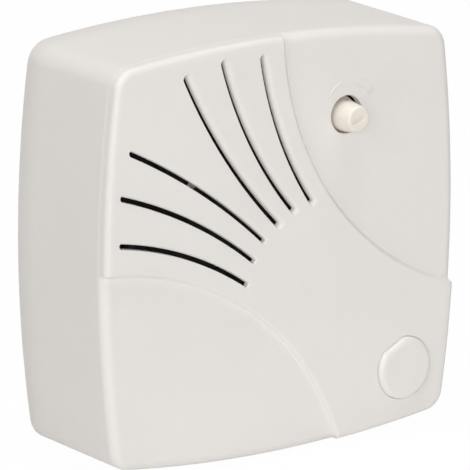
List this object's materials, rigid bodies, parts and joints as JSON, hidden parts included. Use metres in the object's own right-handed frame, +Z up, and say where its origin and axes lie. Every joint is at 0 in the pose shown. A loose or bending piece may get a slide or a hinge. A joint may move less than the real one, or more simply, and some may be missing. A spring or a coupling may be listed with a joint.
{
  "type": "doorbell chime box",
  "caption": "Square wall-mounted doorbell chime with a bulged hood cover, fan of curved sound slots, volume spindle and push button, over a loudspeaker and circuit board.",
  "frame": {"origin": "middle of the back plate's rear face, on the wall", "axes": "+Z up, +X to the right as seen from the room, +Y into the wall; the front faces -Y"},
  "size_m": [0.09, 0.0347, 0.09],
  "materials": {
    "cover_plastic": "off-white moulded plastic with a fine satin grain",
    "plate_plastic": "off-white moulded plastic, smooth",
    "spindle_plastic": "cream moulded plastic",
    "black_plastic": "black moulded plastic",
    "board_laminate": "green solder mask over laminate",
    "phenolic": "brown pressed laminate",
    "tinned_metal": "tinned wire and strip",
    "zinc_steel": "zinc-plated steel",
    "ferrite": "dark grey ferrite",
    "cone_paper": "black pulp paper",
    "coil_paper": "brown coil paper",
    "copper": "enamelled copper wire",
    "glue": "beige glue",
    "spider_cloth": "amber treated cloth",
    "foam": "black closed foam",
    "brass": "brass strip",
    "wire_red": "red insulation",
    "wire_black": "black insulation",
    "terminal_plastic": "green moulded plastic",
    "can_sleeve": "dark blue shrink sleeve over aluminium",
    "resistor_lacquer": "beige lacquer with colour rings",
    "ceramic_lacquer": "orange-brown lacquer"
  },
  "bodies": {
    "base": {"back_plate": "plate_plastic", "switch_body": "black_plastic", "switch_frame": "zinc_steel", "switch_legs": "tinned_metal", "volume_case": "black_plastic", "volume_wafer": "phenolic", "volume_legs": "tinned_metal", "speaker_basket": "zinc_steel", "speaker_magnet": "ferrite", "speaker_top_plate": "zinc_steel", "speaker_yoke": "zinc_steel", "speaker_spider": "spider_cloth", "speaker_surround": "foam", "speaker_gasket": "foam", "speaker_tag_strip": "phenolic", "speaker_tags": "brass", "clamp_washers": "zinc_steel", "clamp_screws": "zinc_steel", "speaker_lead_red": "wire_red", "speaker_lead_black": "wire_black", "circuit_board": "board_laminate", "board_screws": "zinc_steel", "terminal_housing": "terminal_plastic", "terminal_clamps": "zinc_steel", "terminal_screws": "zinc_steel", "terminal_legs": "tinned_metal", "melody_chip": "black_plastic", "melody_chip_legs": "tinned_metal", "amplifier_chip": "black_plastic", "amplifier_chip_legs": "tinned_metal", "smoothing_capacitors": "can_sleeve", "capacitor_legs": "tinned_metal", "bridge_rectifier": "black_plastic", "bridge_legs": "tinned_metal", "resistors": "resistor_lacquer", "resistor_leads": "tinned_metal", "ceramic_capacitors": "ceramic_lacquer", "ceramic_legs": "tinned_metal", "driver_transistor": "black_plastic", "transistor_legs": "tinned_metal"},
    "cover": {"front_cover": "cover_plastic"},
    "spindle": {"volume_spindle": "spindle_plastic", "volume_wiper": "brass"},
    "button": {"button_cap": "cover_plastic", "switch_plunger": "black_plastic"},
    "cone": {"speaker_cone": "cone_paper", "speaker_dust_cap": "cone_paper", "coil_former": "coil_paper", "voice_coil": "copper", "glue_dabs": "glue"}
  },
  "joints": [
    {"name": "cover_lift", "type": "slide", "parent": "base", "child": "cover", "axis": [0, -1, 0], "range_m": [0, 0.045]},
    {"name": "volume_turn", "type": "hinge", "parent": "base", "child": "spindle", "pos_m": [0.0158, -0.012, 0.0253], "axis": [0, 1, 0], "range_deg": [-135, 135]},
    {"name": "button_press", "type": "slide", "parent": "base", "child": "button", "axis": [0, 1, 0], "range_m": [0, 0.0005], "stiffness_N_per_m": 600, "springref_m": -0.001},
    {"name": "cone_travel", "type": "slide", "parent": "base", "child": "cone", "axis": [0, -1, 0], "range_m": [-0.0005, 0.0005], "stiffness_N_per_m": 800}
  ]
}
